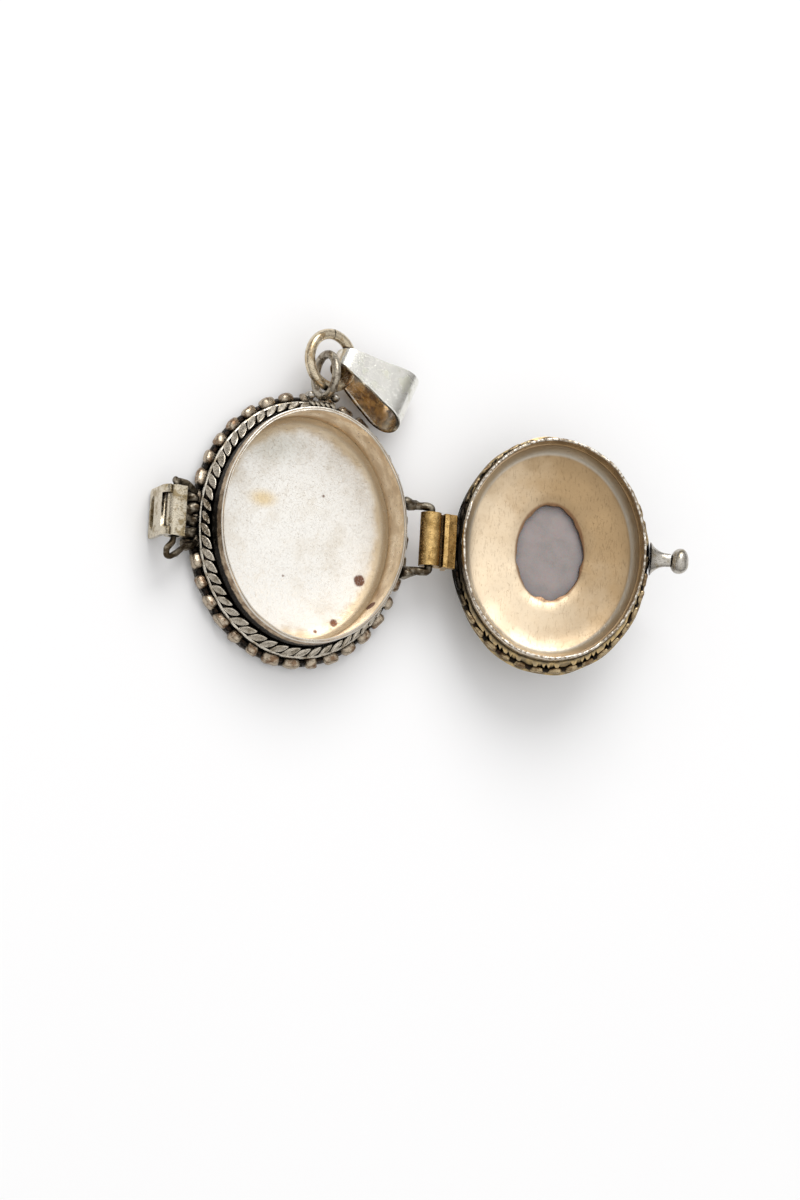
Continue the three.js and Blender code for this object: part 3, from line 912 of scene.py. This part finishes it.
def bezel_wobble(radius, height, angle):
    around = Vector((math.cos(angle), math.sin(angle), 0))
    share = max(0.0, (height - seat) / (bezel_top - seat))
    nick = sum(0.16 * math.exp(-(((math.degrees(angle) - n) / 1.6) ** 2)) for n in NICKS)
    out = share * uneven(around, 0.25, 0.12, 3)
    return out, share * (uneven(around, 0.3, 0.16, 7) + uneven(around, 0.09, 0.03, 1) - nick)


bezel_foot = bezel_low.z
bezel_profile = [
    (bezel_inner, bezel_foot),
    (bezel_inner, bezel_top - 0.06),
    (bezel_inner + 0.06, bezel_top),
    (bezel_outer - 0.06, bezel_top),
    (bezel_outer, bezel_top - 0.06),
    (bezel_outer, bezel_foot),
]
bezel = moved(turned(bezel_profile, RATIO, 360, bezel_wobble), to_middle)
build("lid_bezel_worn", bezel, bezel_finish(seat, bezel_top - seat), "lid",
      ["lid_bezel"], lid_place, sharp=50)

edge_wire = (edge_high.z - edge_low.z) / 2
edge_y = lid_edge - edge_wire
edge_z = (edge_low.z + edge_high.z) / 2
edge_core = oval_wire(RATIO * edge_y - 0.1, edge_y - 0.12, edge_low.z + edge_wire - 0.1,
                      0.75 * edge_wire, 0.05)
edge_half = (0.72, 0.9 * edge_wire, 1.05 * edge_wire)
edge_row = lump_row(RATIO * edge_y, edge_y, edge_z, 38, edge_half, 3.2, 0.3, 23)
to_edge = to_middle @ Matrix.Translation(ALONG_Y * -OFF_CENTRE)
build("lid_block_core", moved(edge_core, to_edge), black_silver, "lid", [],
      lid_place)
build("lid_block_row", moved(edge_row, to_edge), lid_block_silver, "lid",
      ["lid_edge_wire"], lid_place, sharp=60)

stone_y = stone_high.y
stone_ratio = (stone_high.x - stone_low.x) / (stone_high.y - stone_low.y)
girdle = stone_high.z - 0.5
dome = girdle - stone_low.z
stone_profile = [(0, stone_low.z)]
for step in range(1, 17):
    angle = math.pi / 2 * step / 16
    stone_profile.append((stone_y * math.sin(angle), girdle - dome * math.cos(angle)))
stone_profile += [(stone_y, stone_high.z - 0.1), (stone_y - 0.1, stone_high.z), (0, stone_high.z)]
build("stone_cabochon", moved(turned(stone_profile, stone_ratio, 96), to_middle), stone_finish(MIDDLE),
      "lid", ["stone"], lid_place)

setting_low, setting_high = extent("stone_setting", lid_place)
setting_y = setting_high.y
setting_ratio = (setting_high.x - setting_low.x) / (setting_high.y - setting_low.y)
lip_drop = setting_low.z - 0.18


def setting_wobble(radius, height, angle):
    around = Vector((math.cos(angle), math.sin(angle), 0))
    low = height < setting_low.z + 0.1
    return (uneven(around, 0.2, 0.06, 2), uneven(around, 0.15, 0.14, 9)) if low else (0, 0)


setting_profile = [
    (stone_y + 0.04, setting_high.z),
    (stone_y + 0.04, setting_low.z + 0.5),
    (stone_y - 0.14, lip_drop + 0.06),
    (stone_y - 0.1, lip_drop),
    (setting_y - 0.12, setting_low.z + 0.05),
    (setting_y, setting_low.z + 0.4),
    (setting_y, setting_high.z),
]
setting_shape = turned(setting_profile, setting_ratio, 160, setting_wobble)
build("stone_setting_folded", moved(setting_shape, to_middle), polished, "lid",
      ["stone_setting"], lid_place)

cord_low, cord_high = extent("stone_rope_wire", lid_place)
cord = (cord_high.z - cord_low.z) / 2
cord_x = (cord_high.x - cord_low.x) / 2 - cord
cord_y = cord_high.y - cord
cord_core = oval_wire(cord_x, cord_y, cord_low.z + 1.2 * cord, 0.7 * cord, 0.05)
cord_leaves = leaf_row(cord_x, cord_y, cord_low.z + cord, 36, (0.80, 0.36, 0.40), 36, -1)
build("stone_rope_core", moved(cord_core, to_middle), black_silver, "lid", [],
      lid_place)
build("stone_rope_leaves", moved(cord_leaves, to_middle), rope_silver, "lid",
      ["stone_rope_wire"], lid_place, sharp=60)

# The hinge leaf is one strip: rolled into the barrel, then bent down the lid's edge.
knuckle_low, knuckle_high = extent("hinge_knuckle", lid_place)
barrel = knuckle_high.z
leaf = knuckle_high.x
leaf_foot = knuckle_low.z
knuckle = arc(barrel, -8, 272, 44) + [
    (leaf - 0.45, -barrel),
    (leaf - 0.45, leaf_foot),
    (leaf, leaf_foot),
    (leaf, -1.0),
    (leaf + 0.75, -1.0),
    (leaf + 0.75, -0.3),
    (leaf, 0.05),
    (leaf - 0.08, 0.14),
    (leaf - 0.5, 0.16),
    (leaf - 0.60, -0.06),
    (leaf - 0.62, -0.55),
    (barrel + 0.1, -0.6),
]
pin_hole = arc(0.5, 0, 345, 23)
knuckle_shape = extruded(knuckle, knuckle_high.y - knuckle_low.y, [pin_hole])
build("hinge_knuckle_rolled", knuckle_shape, hinge_gold, "lid",
      ["hinge_knuckle"], lid_place, bevel=0.06, sharp=30)

# The stud: a flared stem and a ball, both turned about X.
stem_low, stem_high = extent("stud_stem", lid_place)
stud_z = (stem_low.z + stem_high.z) / 2
flare = 0.90
neck = 0.36
stem_length = stem_high.x - stem_low.x + 0.5
stem_profile = [(0, 0), (flare, 0)]
for step in range(1, 11):
    t = step / 10
    stem_profile.append((neck + (flare - neck) * (1 - t) ** 2.8, stem_length * t))
stem_profile.append((0, stem_length))
on_x = (
    Matrix.Translation((stem_low.x - 0.5, 0, stud_z))
    @ Matrix.Diagonal((1, 1.9, 1, 1))
    @ Matrix.Rotation(math.pi / 2, 4, "Y")
)
build("stud_stem_flared", moved(turned(stem_profile, 1.0, 32), on_x), polished,
      "lid", ["stud_stem"], lid_place)

ball_low, ball_high = extent("stud_ball", lid_place)
ball_mid = (ball_low + ball_high) / 2
ball = (ball_high.x - ball_low.x) / 2
ball_shape = lump(ball_mid, (ball, 1.36 * ball, ball), XYZ, 2.1, 0.16, 5, 24, 15)
build("stud_ball_lump", ball_shape, polished, "lid", ["stud_ball"], lid_place)

# ---- hasp -----------------------------------------------------------------------------------

hasp_place = Matrix.Translation(clasp)
barrel_low, barrel_high = extent("hasp_barrel", hasp_place)
tongue_low, tongue_high = extent("hasp_tongue", hasp_place)
roll = barrel_high.x
hasp_length = barrel_high.y - barrel_low.y
rolled = arc(roll, -60, -12, 8) + [(roll, 0.56), (roll - 0.1, 0.74)] + arc(roll, 100, 282, 30)
rolled += arc(roll - 0.42, 278, -58, 44)
build("hasp_barrel_rolled", extruded(rolled, hasp_length), clasp_silver,
      "hasp", ["hasp_barrel"], hasp_place, bevel=0.05, sharp=30)

half = hasp_length / 2
slot_half = 1.7
slot_z = tongue_low.z + 0.9
plate = tongue_high.x - tongue_low.x
plate_x = (tongue_low.x + tongue_high.x) / 2
CORNER = 0.5  # radius of the tongue's corners and of its slot's ends
corner_z = tongue_low.z + CORNER
outline = [
    (-half, 0),
    *arc(CORNER, 180, 270, 6, (-half + CORNER, corner_z)),
    *arc(CORNER, 270, 360, 6, (half - CORNER, corner_z)),
    (half, 0),
]
slot = [
    *arc(CORNER, 90, 270, 8, (-slot_half + CORNER, slot_z)),
    *arc(CORNER, -90, 90, 8, (slot_half - CORNER, slot_z)),
]
to_side = Matrix.Translation(ALONG_X * plate_x) @ Matrix.Rotation(math.pi / 2, 4, "Z")
tongue = moved(extruded(outline, plate, [slot]), to_side)
shoulders = []
shoulder_width = half - slot_half
for side in (-1, 1):
    bend = arc(-tongue_low.x, 180, 132, 10) + arc(-tongue_low.x - plate, 132, 180, 10)
    strap = extruded(bend, shoulder_width)
    to_shoulder = Matrix.Translation(ALONG_Y * side * (half - shoulder_width / 2))
    shoulders.append(moved(strap, to_shoulder))
build("hasp_tongue_slotted", merged(tongue, *shoulders), clasp_silver,
      "hasp", ["hasp_tongue"], hasp_place, bevel=0.05, sharp=30)

# ---- jump ring and bail ---------------------------------------------------------------------

ring_low, ring_high = extent("jump_ring")
RING_TILT = math.radians(18)
ring_axis = Matrix.Rotation(RING_TILT, 3, "Y") @ UP
ring_mid = (ring_low + ring_high) / 2 + Vector((-0.05, 0.15, 0))
RING_WIRE = 0.53
ring_radius = (ring_high.y - ring_low.y) / 2 - RING_WIRE + 0.2
ring = wire_ring(ring_mid, ring_radius, RING_WIRE, ring_axis, ALONG_Y, 0.015, 0.04)
build("jump_ring_wire", ring, ring_silver, "ring", ["jump_ring"])

# The bail is a strip tapered to its ends and folded into a drop: an eye, two legs and a bow.
BAIL_HEADING = math.radians(-28)
EYE = 0.98
BOW = 1.65
STRAP = 0.45
EYE_BACK = 0.35
BAIL_LENGTH = 5.6
NARROW = 1.9
WIDE = 6.2
bail_pivot = joint_position("bail_swing")
BAIL_ROLL = math.radians(18)  # it leans on one edge of its bow
bow_reach = (BOW + STRAP) * math.cos(BAIL_ROLL) + WIDE / 2 * math.sin(BAIL_ROLL)
bail_slope = math.asin((bail_pivot.z - bow_reach) / (BAIL_LENGTH - EYE_BACK))
bail_place = (
    Matrix.Translation(bail_pivot + Vector((0.1, 0.85, 0.1)))
    @ Matrix.Rotation(BAIL_HEADING, 4, "Z")
    @ Matrix.Rotation(bail_slope, 4, "Y")
    @ Matrix.Rotation(-BAIL_ROLL, 4, "X")
    @ Matrix.Translation(ALONG_X * -EYE_BACK)
)
lean = math.degrees(math.asin((BOW - EYE) / BAIL_LENGTH))
middle_line = arc(EYE + STRAP / 2, 90 + lean, 270 - lean, 14)
middle_line += arc(BOW + STRAP / 2, -90 - lean, 90 + lean, 26, (BAIL_LENGTH, 0))


def strap_sections(line):
    """Cross-sections of the folded strip: wider towards the bow, with softened edges."""
    dense = []
    for (x0, z0), (x1, z1) in zip(line, line[1:] + line[:1]):
        pieces = max(1, round(math.hypot(x1 - x0, z1 - z0) / 0.3))
        dense += [(x0 + (x1 - x0) * i / pieces, z0 + (z1 - z0) * i / pieces) for i in range(pieces)]
    tip = -EYE - STRAP
    end = BAIL_LENGTH + BOW + STRAP
    sections = []
    for i, (x, z) in enumerate(dense):
        before = dense[i - 1]
        after = dense[(i + 1) % len(dense)]
        forward = Vector((after[0] - before[0], 0, after[1] - before[1])).normalized()
        out = forward.cross(ALONG_Y)
        width = (NARROW + (WIDE - NARROW) * (x - tip) / (end - tip)) / 2
        t = STRAP / 2
        shape = [
            (-width, -t + 0.08),
            (-width + 0.08, -t),
            (0, -t * 0.95),
            (width - 0.08, -t),
            (width, -t + 0.08),
            (width, t - 0.1),
            (width - 0.1, t),
            (0, t * 1.08),
            (-width + 0.1, t),
            (-width, t - 0.1),
        ]
        section = []
        for y, n in shape:
            place = Vector((x, y, z)) + out * n
            bent = out * uneven(place, 1.6, 0.05) + ALONG_Y * uneven(place, 2.0, 0.07, 3)
            section.append(place + bent)
        sections.append(section)
    return sections


build("bail_strap_folded", loft(strap_sections(middle_line), closed=True), bail_finish(),
      "bail", ["bail_strap"], bail_place, sharp=30)

solder_low, solder_high = extent("bail_solder", bail_place)
solder_mid = Vector((-EYE - 0.8 * STRAP + 0.12, 0, 0))
solder = (solder_high.y - solder_low.y) / 2
blobs = []
for k in (-2, -1, 0, 1, 2):
    centre = solder_mid + ALONG_Y * 0.3 * k
    blobs.append(lump(centre, (0.7 * solder, solder, solder), XYZ, 2, 0.5, 20 + k, 20, 12))
build("bail_solder_lumps", merged(*blobs), solder_black,
      "bail", ["bail_solder"], bail_place)

# ---- table, light and camera ----------------------------------------------------------------


def plain_floor():
    mesh = bpy.data.meshes.new("white_table")
    reach = 1.5
    corners = [(-reach, -reach, 0), (reach, -reach, 0), (reach, reach, 0), (-reach, reach, 0)]
    mesh.from_pydata(corners, [], [(0, 1, 2, 3)])
    f = Finish("white_paper")
    color = f.mix(f.noise(0.02, 2.0), (0.93, 0.93, 0.935), (0.94, 0.94, 0.945))
    mesh.materials.append(f.finish(color, 0.9, metallic=0.0))
    table = bpy.data.objects.new("white_table", mesh)
    bpy.context.scene.collection.objects.link(table)
    table.location.z = -0.02 * MM
    return table


plain_floor()


def softbox(name, position, size, power, target=Vector((0.012, 0, 0))):
    light = bpy.data.lights.new(name, "AREA")
    light.shape = "DISK"
    light.size = size
    light.energy = power
    lamp = bpy.data.objects.new(name, light)
    lamp.location = position
    lamp.rotation_mode = "QUATERNION"
    lamp.rotation_quaternion = (Vector(position) - target).to_track_quat("Z", "Y")
    bpy.context.scene.collection.objects.link(lamp)


softbox("window_light", (0.0, 0.80, 0.75), 0.8, 6.0)

world = bpy.data.worlds.new("studio")
world.use_nodes = True
bpy.context.scene.world = world
sky = world.node_tree
background = sky.nodes["Background"]
direction = sky.nodes.new("ShaderNodeTexCoord")
heights = sky.nodes.new("ShaderNodeSeparateXYZ")
fade = sky.nodes.new("ShaderNodeValToRGB")
fade.color_ramp.elements[0].position = 0.0
fade.color_ramp.elements[0].color = (0.12, 0.115, 0.11, 1)
fade.color_ramp.elements[1].position = 0.85
fade.color_ramp.elements[1].color = (1, 1, 1, 1)
middle_tone = fade.color_ramp.elements.new(0.5)
middle_tone.color = (0.50, 0.49, 0.48, 1)
sky.links.new(direction.outputs["Generated"], heights.inputs["Vector"])
sky.links.new(heights.outputs["Z"], fade.inputs["Fac"])
sky.links.new(fade.outputs["Color"], background.inputs["Color"])
background.inputs["Strength"].default_value = 1.06

# The camera leans towards the clasp and a little towards the front; the locket lies turned a little.
LEAN_SIDE = math.radians(21.3)
LEAN_FRONT = math.radians(7.4)
TURN = math.radians(3.4)
DISTANCE = 500
LENS = 150
across = -math.sin(LEAN_SIDE)
front = -math.sin(LEAN_FRONT)
back = Vector((across, front, math.sqrt(1 - across**2 - front**2)))
top = (ALONG_Y - back * back.y).normalized()
right = top.cross(back)
turn = Matrix.Rotation(TURN, 3, "Z")
back, top, right = turn @ back, turn @ top, turn @ right
AIM_RIGHT = 10.55  # how far the camera aims to the right of the origin, as it sees it
AIM_DOWN = 6.78  # and how far below it
aim = right * AIM_RIGHT - top * AIM_DOWN
camera_data = bpy.data.cameras.new("camera")
camera_data.lens = LENS
camera_data.clip_start = 0.01
camera = bpy.data.objects.new("camera", camera_data)
basis = Matrix((right, top, back)).transposed().to_4x4()
camera.matrix_world = Matrix.Translation((aim + back * DISTANCE) * MM) @ basis
bpy.context.scene.collection.objects.link(camera)
bpy.context.scene.camera = camera
bpy.context.scene.view_settings.view_transform = "Standard"

low, high = size_at_load
